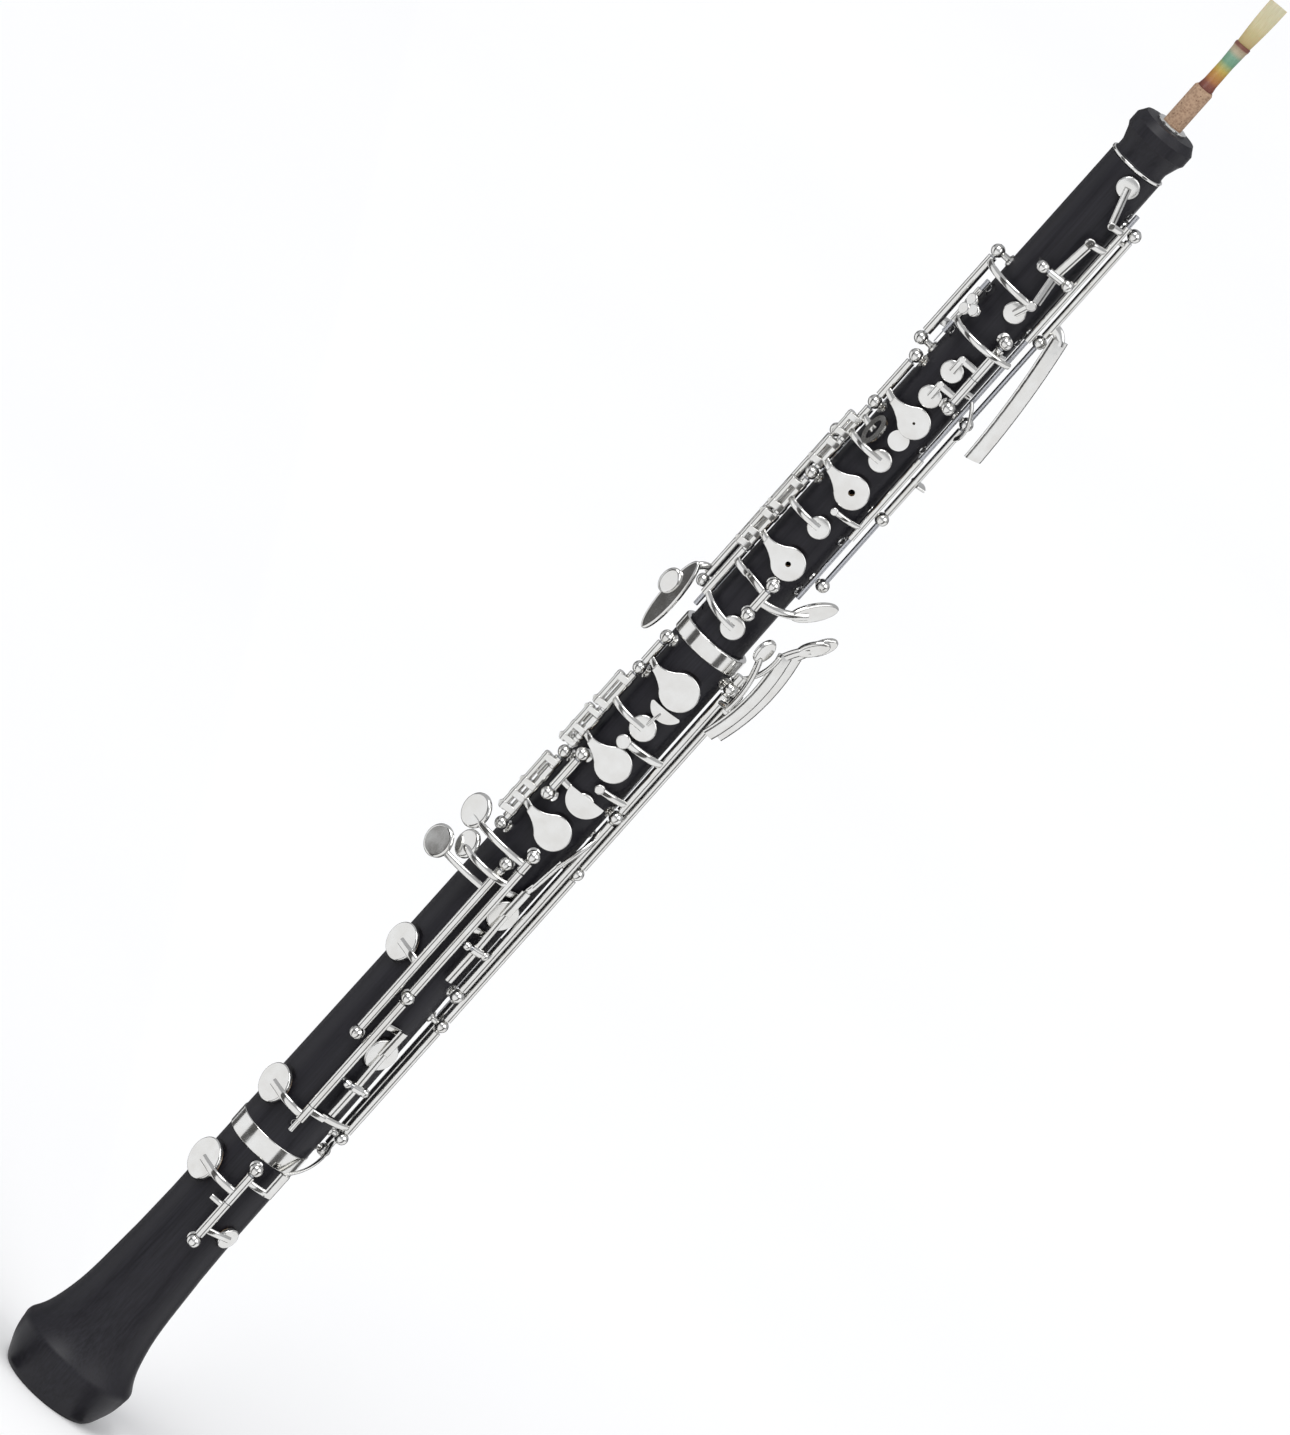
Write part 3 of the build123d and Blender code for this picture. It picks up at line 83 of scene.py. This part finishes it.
class Shader:
    """A material under construction: its nodes, links and principled shader."""

    def __init__(self, name, **values):
        self.material = bpy.data.materials.new(name)
        self.material.use_nodes = True
        self.tree = self.material.node_tree
        self.surface = self.tree.nodes["Principled BSDF"]
        for socket, value in values.items():
            self.surface.inputs[socket.replace("_", " ")].default_value = value

    def node(self, kind, **settings):
        made = self.tree.nodes.new(kind)
        for key, value in settings.items():
            if hasattr(made, key):
                setattr(made, key, value)
            else:
                made.inputs[key.replace("_", " ")].default_value = value
        return made

    def link(self, source, target):
        self.tree.links.new(source, target)

    def place(self, scale=(1, 1, 1)):
        """Object coordinates multiplied by a scale."""
        where = self.node("ShaderNodeTexCoord")
        stretch = self.node("ShaderNodeMapping")
        stretch.inputs["Scale"].default_value = scale
        self.link(where.outputs["Object"], stretch.inputs["Vector"])
        return stretch.outputs["Vector"]

    def noise(self, vector, scale, detail=4.0, rough=0.55):
        made = self.node("ShaderNodeTexNoise", Scale=scale, Detail=detail, Roughness=rough)
        self.link(vector, made.inputs["Vector"])
        return made.outputs["Fac"]

    def ramp(self, factor, *stops):
        """Colours at positions from 0 to 1 along a factor."""
        made = self.node("ShaderNodeValToRGB")
        band = made.color_ramp
        while len(band.elements) < len(stops):
            band.elements.new(0.5)
        for element, (position, colour) in zip(band.elements, stops):
            element.position = position
            element.color = (*colour, 1)
        self.link(factor, made.inputs["Fac"])
        return made.outputs["Color"]

    def span(self, factor, low, high, start=0.3, end=0.7):
        """A value that goes from low to high as the factor goes from start to end."""
        made = self.node("ShaderNodeMapRange")
        for socket, value in (("From Min", start), ("From Max", end), ("To Min", low), ("To Max", high)):
            made.inputs[socket].default_value = value
        self.link(factor, made.inputs["Value"])
        return made.outputs["Result"]

    def rise(self, low, high):
        """0 to 1 between two heights on the object, in metres."""
        where = self.node("ShaderNodeTexCoord")
        split = self.node("ShaderNodeSeparateXYZ")
        self.link(where.outputs["Object"], split.inputs["Vector"])
        return self.span(split.outputs["Z"], 0.0, 1.0, low, high)

    def mix(self, factor, first, second):
        """A linked colour, and a plain second colour that takes over as the factor grows."""
        made = self.node("ShaderNodeMix", data_type="RGBA")
        self.link(factor, made.inputs["Factor"])
        self.link(first, made.inputs[MIX_FIRST])
        made.inputs[MIX_SECOND].default_value = (*second, 1)
        return made.outputs[MIX_RESULT]

    def colour(self, source):
        self.link(source, self.surface.inputs["Base Color"])

    def roughness(self, source):
        self.link(source, self.surface.inputs["Roughness"])

    def bump(self, height, strength, depth):
        made = self.node("ShaderNodeBump", Strength=strength, Distance=depth)
        self.link(height, made.inputs["Height"])
        self.link(made.outputs["Normal"], self.surface.inputs["Normal"])


def wood():
    """Black wood, turned and oiled: fine grain along the bore and small pores."""
    shader = Shader("black_wood", Specular_IOR_Level=0.3)
    along = shader.place((1, 1, 0.035))
    grain = shader.noise(along, 1400, 6, 0.6)
    broad = shader.noise(shader.place((1, 1, 0.2)), 60, 3)
    dark = shader.ramp(grain, (0.35, (0.0056, 0.0055, 0.0078)), (0.7, (0.0165, 0.0160, 0.0220)))
    shader.colour(shader.mix(shader.span(broad, 0.0, 0.5), dark, (0.0128, 0.0115, 0.0155)))
    shader.roughness(shader.span(grain, 0.4, 0.54))
    shader.bump(grain, 0.25, 0.00006)
    return shader.material


def silver():
    """Polished silver plate: faint handling haze and hairline polish marks."""
    shader = Shader("silver_plate", Metallic=1.0)
    haze = shader.noise(shader.place(), 180, 3)
    hairline = shader.noise(shader.place((1, 1, 0.08)), 5200, 2)
    shader.colour(shader.ramp(haze, (0.3, (0.71, 0.70, 0.675)), (0.7, (0.80, 0.80, 0.785))))
    shader.roughness(shader.span(haze, 0.09, 0.19))
    shader.bump(hairline, 0.05, 0.00001)
    return shader.material


def steel():
    """Turned steel for rods and springs, slightly blued."""
    shader = Shader("turned_steel", Metallic=1.0)
    rings = shader.noise(shader.place((0.2, 0.2, 1)), 3000, 2)
    shader.colour(shader.ramp(rings, (0.3, (0.42, 0.43, 0.46)), (0.7, (0.56, 0.57, 0.60))))
    shader.roughness(shader.span(rings, 0.2, 0.34))
    return shader.material


def pad_skin():
    """Tan bladder skin over felt, with a soft crease texture."""
    shader = Shader("pad_skin")
    crease = shader.noise(shader.place(), 1500, 5)
    shader.colour(shader.ramp(crease, (0.3, (0.40, 0.25, 0.13)), (0.7, (0.62, 0.44, 0.27))))
    shader.roughness(shader.span(crease, 0.55, 0.75))
    shader.bump(crease, 0.4, 0.0001)
    return shader.material


def cork():
    """Cork with dark specks and grains."""
    shader = Shader("cork")
    grains = shader.node("ShaderNodeTexVoronoi", Scale=1100)
    shader.link(shader.place(), grains.inputs["Vector"])
    specks = shader.noise(shader.place(), 900, 6, 0.7)
    tan = shader.ramp(grains.outputs["Distance"], (0.0, (0.24, 0.145, 0.09)), (0.7, (0.42, 0.28, 0.185)))
    speckled = shader.ramp(specks, (0.58, (0, 0, 0)), (0.66, (1, 1, 1)))
    shader.colour(shader.mix(speckled, tan, (0.11, 0.055, 0.03)))
    shader.roughness(shader.span(specks, 0.75, 0.92))
    shader.bump(grains.outputs["Distance"], 0.5, 0.00015)
    return shader.material


THREAD_COLOURS = (
    (0.00, (0.17, 0.035, 0.022)), (0.12, (0.24, 0.06, 0.03)), (0.20, (0.44, 0.17, 0.035)),
    (0.34, (0.52, 0.27, 0.04)), (0.44, (0.56, 0.42, 0.07)), (0.53, (0.36, 0.42, 0.16)),
    (0.60, (0.16, 0.36, 0.22)), (0.74, (0.20, 0.40, 0.28)), (0.83, (0.50, 0.44, 0.30)),
    (0.92, (0.46, 0.36, 0.24)), (0.945, (0.20, 0.06, 0.035)), (1.00, (0.16, 0.045, 0.028)),
)


def thread(low, high):
    """Waxed thread wound on in several colours, from the cork up to the cane."""
    shader = Shader("reed_thread", Coat_Weight=0.3, Coat_Roughness=0.3)
    rise = shader.rise(low, high)
    fibre = shader.noise(shader.place(), 6000, 3)
    dye = shader.ramp(rise, *THREAD_COLOURS)
    shader.colour(shader.mix(shader.span(fibre, 0.0, 0.35), dye, (0.05, 0.03, 0.02)))
    shader.roughness(shader.span(fibre, 0.45, 0.62))
    shader.bump(fibre, 0.35, 0.00005)
    return shader.material


def cane(low, high):
    """Scraped cane: bark colour at the throat, paler towards the tip, fibres along it."""
    shader = Shader("cane", Subsurface_Weight=0.12, Subsurface_Scale=0.002)
    rise = shader.rise(low, high)
    fibre = shader.noise(shader.place((1, 1, 0.02)), 4200, 4)
    scraped = shader.ramp(
        rise, (0.0, (0.42, 0.32, 0.14)), (0.3, (0.49, 0.42, 0.22)), (0.45, (0.55, 0.50, 0.31)),
        (1.0, (0.60, 0.56, 0.40)),
    )
    shader.colour(shader.mix(shader.span(fibre, 0.0, 0.4), scraped, (0.36, 0.28, 0.13)))
    shader.roughness(shader.span(fibre, 0.5, 0.7))
    shader.bump(fibre, 0.4, 0.00005)
    return shader.material


# ---------------------------------------------------------------- finishes on the CAD nodes
thread_low, thread_high = (corner.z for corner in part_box("reed_thread"))
cane_low, cane_high = (corner.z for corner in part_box("reed_cane"))
FINISH = {
    "wood": wood(), "silver": silver(), "steel": steel(), "pad": pad_skin(), "cork": cork(),
    "thread": thread(thread_low, thread_high), "cane": cane(cane_low, cane_high),
}
for part in frame["record"]["subparts"]:
    mesh = nodes[part["node"]].data
    mesh.materials.clear()
    mesh.materials.append(FINISH[part["material_slot"]])


# ---------------------------------------------------------------- small pieces: geometry helpers
MM = 0.001
# Hinge lines along the body: angle round the bore and distance from it
HINGES = {
    "bell": (0, 18.0), "fork": (-39, 16.8), "lower_stack": (-63, 16.3), "upper_stack": (-77, 14.3),
    "trill": (17, 14.3), "thumb": (-95, 15.9), "inner_right": (49, 13.4), "trill_side": (-107, 16.4),
}
SHARP_ANGLE, BEVEL_SEGMENTS = 38, 3


def outward(angle):
    """Unit vector away from the bore; 0 is the front and angles grow towards +X."""
    return Vector((sin(radians(angle)), -cos(radians(angle)), 0.0))


def at(angle, distance, height):
    """Place at an angle round the bore, a distance from it and a height, given in millimetres."""
    return (outward(angle) * distance + Vector((0, 0, height))) * MM


def add_piece(name, points, faces, slot, body, bevel=0.0):
    """Mesh piece in one of the record's finishes, riding on a CAD body."""
    mesh = bpy.data.meshes.new(name)
    mesh.from_pydata([tuple(point) for point in points], [], faces)
    mesh.materials.append(FINISH[slot])
    mesh.validate()
    mesh.shade_smooth()
    mesh.set_sharp_from_angle(angle=radians(SHARP_ANGLE))
    piece = bpy.data.objects.new(name, mesh)
    bpy.context.scene.collection.objects.link(piece)
    if bevel:
        soften = piece.modifiers.new("soften", "BEVEL")
        soften.width, soften.segments, soften.limit_method = bevel * MM, BEVEL_SEGMENTS, "ANGLE"
        soften.harden_normals = True
    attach(piece, body)


def lathe(name, centre, axis, profile, slot, body, turns=40):
    """Closed turned piece: (radius, rise) pairs in millimetres about an axis through a centre."""
    spin = axis.to_track_quat("Z", "X").to_matrix()
    points, faces = [], []
    for radius, rise in profile:
        for step in range(turns):
            turn = 2 * pi * step / turns
            points.append(centre + spin @ Vector((radius * cos(turn), radius * sin(turn), rise)) * MM)
    last_row = (len(profile) - 1) * turns
    for row in range(0, last_row, turns):
        for step in range(turns):
            ahead = (step + 1) % turns
            faces.append((row + step, row + ahead, row + turns + ahead, row + turns + step))
    faces.append(tuple(reversed(range(turns))))
    faces.append(tuple(range(last_row, last_row + turns)))
    add_piece(name, points, faces, slot, body)


def prism_faces(count):
    """Faces of a closed prism: its points are one outline of so many, then the other."""
    sides = [(k, (k + 1) % count, (k + 1) % count + count, k + count) for k in range(count)]
    return [tuple(reversed(range(count))), tuple(range(count, 2 * count)), *sides]


def swung(point, line, degrees):
    """A place turned about a hinge line, as the key that stands open there is."""
    pivot = at(*HINGES[line], 0)
    return pivot + Matrix.Rotation(radians(degrees), 3, "Z") @ (point - pivot)


# ---------------------------------------------------------------- pads under the small cups
# key, angle, height, cup radius, radius of the wood, hinge line and degrees it stands open
SMALL_CUPS = (
    ("bell_vent_key", 39, 85.5, 4.1, 14.15, "bell", 0),
    ("fork_f_key", 3, 284.4, 4.4, 12.93, "fork", 0),
    ("f_vent_key", -3, 318.9, 4.8, 12.81, "lower_stack", -4.0),
    ("g_sharp_key", -3, 365.4, 4.4, 11.15, "upper_stack", 0),
    ("b_vent_key", -4, 411.5, 4.1, 10.89, "upper_stack", -4.0),
    ("c_vent_key", -2, 442.9, 4.1, 10.73, "upper_stack", -4.0),
    ("c_trill_key", -13, 470.8, 4.1, 10.66, "trill", 0),
    ("d_trill_key", -13, 482.3, 4.1, 10.63, "trill", 0),
    ("thumb_octave_key", -1, 511.7, 4.0, 10.56, "thumb", 0),
    ("second_octave_key", 2, 569.6, 4.1, 10.41, "inner_right", 0),
    ("right_trill_key", -142, 430.0, 4.1, 10.78, "trill_side", 0),
)
# Share of the cup's radius at which its seat touches the wood; the pad's hub, top and gap to the rim
SEAT_SHARE, PAD_HUB, PAD_TOP, PAD_INSET = 0.62, 0.5, 1.5, 0.5
for key, angle, height, radius, wood_radius, line, opened in SMALL_CUPS:
    seat = sqrt(wood_radius**2 - (SEAT_SHARE * radius) ** 2)
    centre = swung(at(angle, seat, height), line, opened)
    axis = Matrix.Rotation(radians(opened), 3, "Z") @ outward(angle)
    edge = radius - PAD_INSET
    pad = [
        (PAD_HUB, 0.09), (edge - 0.5, 0.07), (edge - 0.15, 0.16), (edge, 0.42),
        (edge, PAD_TOP - 0.1), (edge - 0.2, PAD_TOP), (PAD_HUB, PAD_TOP),
    ]
    lathe(f"{key}_cork_pad", centre, axis, pad, "pad", key)


# ---------------------------------------------------------------- adjusting screws and bridges
LUG_HALF, LUG_TIP_SHARE, LUG_STEPS, LUG_BEVEL = 1.95, 0.78, 8, 0.3
SCREW_RADIUS, SCREW_LENGTH, SCREW_TURNS = 0.95, 2.2, 24
SLOT_HALF, HEAD_STEPS, HEAD_BEVEL = 16, 12, 0.12
HEAD_LOW, HEAD_HIGH = 0.4, 0.78


def lug(name, key, line, height, width, heading, reach):
    """Collar round a key's tube that reaches out on one side to carry a screw."""
    angle, distance = HINGES[line]
    root = at(angle, distance, 0)
    tip = root + outward(heading) * reach * MM
    outline = []
    ends = ((root, heading + 90, LUG_HALF), (tip, heading - 90, LUG_HALF * LUG_TIP_SHARE))
    for centre, first, half in ends:
        for step in range(LUG_STEPS + 1):
            outline.append(centre + outward(first + 180 * step / LUG_STEPS) * half * MM)
    rises = [(height + side * width / 2) * MM for side in (-1, 1)]
    points = [Vector((place.x, place.y, rise)) for rise in rises for place in outline]
    add_piece(name, points, prism_faces(len(outline)), "silver", key, LUG_BEVEL)
    return tip


def slotted_screw(name, key, place, axis):
    """Screw with a domed head and a slot across it."""
    neck = SCREW_RADIUS * 0.55
    shank = [
        (0.2, -SCREW_LENGTH), (neck, -SCREW_LENGTH), (neck, 0),
        (SCREW_RADIUS, 0), (SCREW_RADIUS, 0.35), (SCREW_RADIUS * 0.9, 0.5),
    ]
    lathe(f"{name}_shank", place, axis, shank, "silver", key, SCREW_TURNS)
    spin = axis.to_track_quat("Z", "X").to_matrix()
    half_turn = 180 - 2 * SLOT_HALF
    for side in (0, 1):
        first = 180 * side + SLOT_HALF
        turns = [radians(first + half_turn * step / HEAD_STEPS) for step in range(HEAD_STEPS + 1)]
        rim = [Vector((cos(turn), sin(turn), 0)) * SCREW_RADIUS * 0.9 for turn in turns]
        lifts = [Vector((0, 0, rise)) for rise in (HEAD_LOW, HEAD_HIGH)]
        points = [place + spin @ (spot + lift) * MM for lift in lifts for spot in rim]
        add_piece(f"{name}_half_{side}", points, prism_faces(len(rim)), "silver", key, HEAD_BEVEL)


# key, hinge line, heights of the lugs, their width, heading and reach
BRIDGES = (
    ("d_key", "lower_stack", (266.0, 271.6, 277.2, 288.6), 2.6, -84, 3.9),
    ("e_key", "lower_stack", (298.0, 303.4, 311.2), 2.2, -84, 3.9),
    ("f_vent_key", "lower_stack", (315.4, 326.6), 2.6, -84, 3.6),
    ("third_finger_key", "upper_stack", (389.4, 394.4, 402.2), 2.6, -78, 3.6),
    ("b_vent_key", "upper_stack", (406.4, 416.6), 2.8, -78, 3.6),
    ("second_finger_key", "upper_stack", (427.6, 435.6), 2.6, -78, 3.6),
    ("c_vent_key", "upper_stack", (440.4, 446.8), 2.4, -78, 3.6),
)
BRIDGE_ROD, BRIDGE_END, BRIDGE_TURNS = 1.35, 1.7, 28
SCREW_STAND, SCREW_LEAN = 1.1, 55
for key, line, heights, width, heading, reach in BRIDGES:
    for index, height in enumerate(heights):
        tip = lug(f"{key}_lug_{index}", key, line, height, width, heading, reach)
        if index % 2 == 0:
            place = tip + outward(heading) * SCREW_STAND * MM + Vector((0, 0, height * MM))
            slotted_screw(f"{key}_screw_{index}", key, place, outward(heading + SCREW_LEAN))
    foot = Vector((tip.x, tip.y, heights[0] * MM))
    top = heights[-1] - heights[0] + BRIDGE_END
    rod = [
        (0.4, -BRIDGE_END), (BRIDGE_ROD * 0.8, -BRIDGE_END), (BRIDGE_ROD, -BRIDGE_END + 0.2),
        (BRIDGE_ROD, top - 0.2), (BRIDGE_ROD * 0.8, top), (0.4, top),
    ]
    lathe(f"{key}_bridge", foot, Vector((0, 0, 1)), rod, "silver", key, BRIDGE_TURNS)


# ---------------------------------------------------------------- thread wound on the reed
THREAD_RADIUS, THREAD_SIDES, TURN_STEPS = 0.17, 6, 28
THREAD_PITCH, THREAD_SINK = THREAD_RADIUS * 1.9, THREAD_RADIUS * 0.6
# Height and radius of the wound reed
THREAD_PROFILE = ((610.75, 2.95), (613.0, 2.6), (622.0, 2.5), (628.4, 2.8), (629.1, 3.0), (630.2, 3.0))


def thread_radius(height):
    """Radius of the wound reed at a height."""
    for (low, wide), (high, narrow) in zip(THREAD_PROFILE, THREAD_PROFILE[1:]):
        if height <= high:
            return wide + (narrow - wide) * (height - low) / (high - low)
    return THREAD_PROFILE[-1][1]


def wound_thread():
    """One thread wound round the staple in touching turns, half sunk in the CAD's plain thread."""
    low, high = THREAD_PROFILE[0][0], THREAD_PROFILE[-1][0]
    steps = int((high - low) / THREAD_PITCH * TURN_STEPS)
    points, faces = [], []
    for step in range(steps + 1):
        turn = 2 * pi * step / TURN_STEPS
        height = low + THREAD_PITCH * step / TURN_STEPS
        out, radius = Vector((cos(turn), sin(turn), 0)), thread_radius(height) - THREAD_SINK
        for side in range(THREAD_SIDES):
            roll = 2 * pi * side / THREAD_SIDES
            rim = out * (radius + THREAD_RADIUS * cos(roll))
            points.append((rim + Vector((0, 0, height + THREAD_RADIUS * sin(roll)))) * MM)
    for step in range(steps):
        for side in range(THREAD_SIDES):
            near, ahead = step * THREAD_SIDES + side, step * THREAD_SIDES + (side + 1) % THREAD_SIDES
            faces.append((near, ahead, ahead + THREAD_SIDES, near + THREAD_SIDES))
    faces.append(tuple(reversed(range(THREAD_SIDES))))
    faces.append(tuple(range(steps * THREAD_SIDES, (steps + 1) * THREAD_SIDES)))
    add_piece("wound_thread", points, faces, "thread", "reed")


wound_thread()


# ---------------------------------------------------------------- light and floor
def add_sun(name, azimuth, elevation, spread, power):
    lamp = bpy.data.lights.new(name, "SUN")
    lamp.angle, lamp.energy = radians(spread), power
    holder = bpy.data.objects.new(name, lamp)
    bpy.context.scene.collection.objects.link(holder)
    towards = direction(radians(azimuth), radians(elevation))
    holder.matrix_world = towards.to_track_quat("Z", "Y").to_matrix().to_4x4()


def add_plane(name, corners, material):
    mesh = bpy.data.meshes.new(name)
    mesh.from_pydata(corners, [], [range(len(corners))])
    mesh.materials.append(material)
    made = bpy.data.objects.new(name, mesh)
    bpy.context.scene.collection.objects.link(made)
    return made


def add_card(name, start, end, material):
    """Dark wedge on the floor between two azimuths, and a wall behind it, that only reflections see."""
    def spot(azimuth, distance, rise):
        return direction(radians(azimuth), 0) * distance + Vector((0, 0, rise))

    near_edge = [spot(start, CARD_NEAR, CARD_LIFT), spot(end, CARD_NEAR, CARD_LIFT)]
    far_edge = [spot(end, CARD_FAR, CARD_LIFT), spot(start, CARD_FAR, CARD_LIFT)]
    top_edge = [spot(end, CARD_FAR, CARD_HEIGHT), spot(start, CARD_FAR, CARD_HEIGHT)]
    for part, corners in (("ground", near_edge + far_edge), ("wall", far_edge[::-1] + top_edge)):
        made = add_plane(f"{name}_{part}", corners, material)
        made.visible_camera = made.visible_shadow = made.visible_diffuse = False


floor_finish = Shader("pale_floor", Roughness=0.8, Specular_IOR_Level=0.1)
speckle = floor_finish.noise(floor_finish.place(), 2.0, 2)
floor_finish.colour(floor_finish.ramp(speckle, (0.3, (0.95, 0.95, 0.95)), (0.7, (0.97, 0.97, 0.97))))
FLOOR = 30.0
floor_corners = [(-FLOOR, -FLOOR, 0), (FLOOR, -FLOOR, 0), (FLOOR, FLOOR, 0), (-FLOOR, FLOOR, 0)]
add_plane("floor", floor_corners, floor_finish.material)

card_finish = Shader("dark_card", Roughness=0.9)
weave = card_finish.noise(card_finish.place(), 40, 2)
card_finish.colour(card_finish.ramp(weave, (0.3, (0.05, 0.048, 0.046)), (0.7, (0.07, 0.068, 0.066))))
# Azimuths of the cards' sides in degrees, and how far out, how high and how far off the floor they are
CARDS = ((-78, -54), (30, 54), (112, 136), (176, 204), (-150, -126))
CARD_NEAR, CARD_FAR, CARD_HEIGHT, CARD_LIFT = 0.02, 4.0, 1.6, 0.0004
for index, (start, end) in enumerate(CARDS):
    add_card(f"card_{index}", start, end, card_finish.material)

add_sun("key", -48, 52, 35, 1.62)
add_sun("fill", 40, 36, 50, 0.9)

world = bpy.data.worlds.new("studio")
bpy.context.scene.world = world
world.use_nodes = True
background = world.node_tree.nodes["Background"]
background.inputs["Color"].default_value = (0.96, 0.97, 1.0, 1)
background.inputs["Strength"].default_value = 0.5
bpy.context.scene.view_settings.view_transform = "Standard"
